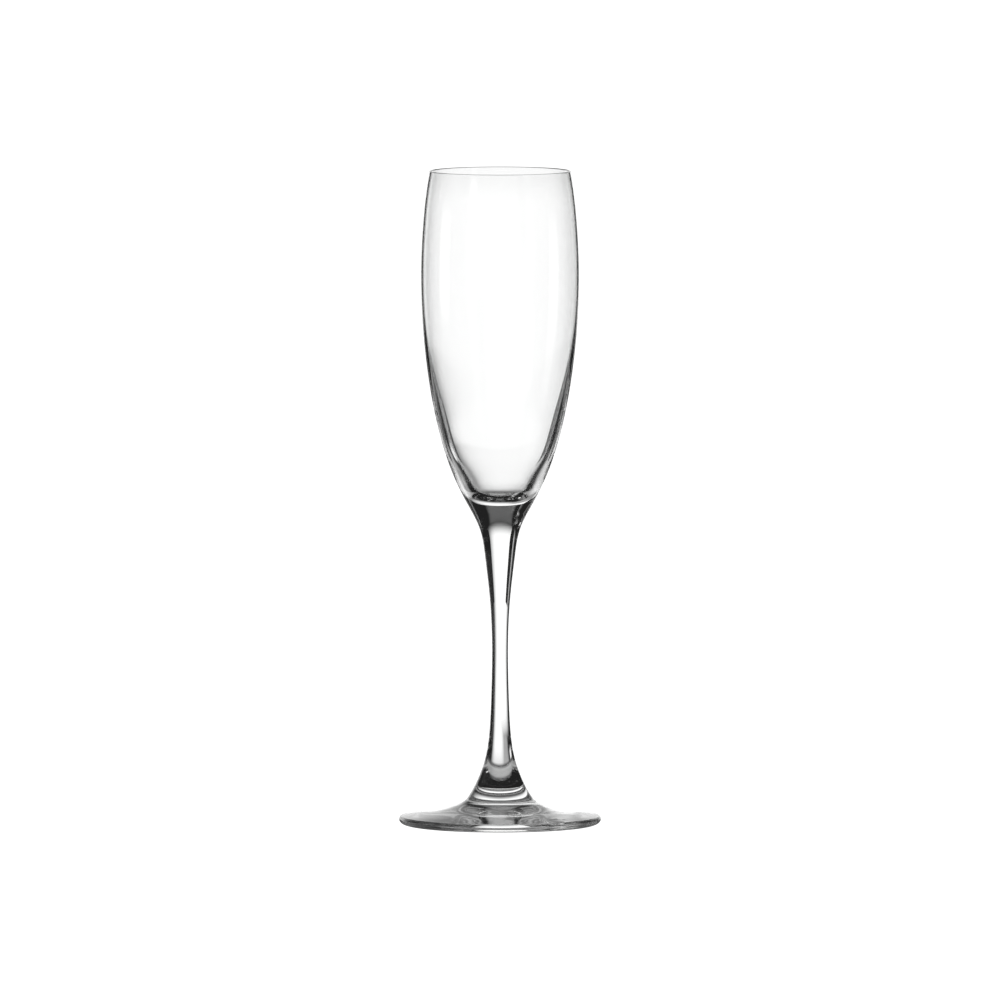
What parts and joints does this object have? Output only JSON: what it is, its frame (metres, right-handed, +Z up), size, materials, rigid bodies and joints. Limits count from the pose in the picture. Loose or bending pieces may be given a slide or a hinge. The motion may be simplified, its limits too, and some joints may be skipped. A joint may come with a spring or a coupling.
{
  "type": "champagne flute",
  "caption": "Tall clear crystal champagne flute: an egg-shaped bowl that narrows to its rim, a slim drawn stem and a round foot with a shallow hollow underneath.",
  "frame": {"origin": "centre of the circle that the foot stands on, at table level", "axes": "+Z up along the flute's axis of revolution, from the foot to the rim; X and Y are equivalent"},
  "size_m": [0.071, 0.071, 0.23],
  "materials": {
    "bowl_crystal": "clear blown crystal, fire-polished",
    "stem_crystal": "clear drawn crystal, fire-polished",
    "foot_crystal": "clear pressed crystal, fire-polished"
  },
  "bodies": {
    "root": {"bowl": "bowl_crystal", "stem": "stem_crystal", "foot": "foot_crystal"}
  },
  "joints": []
}
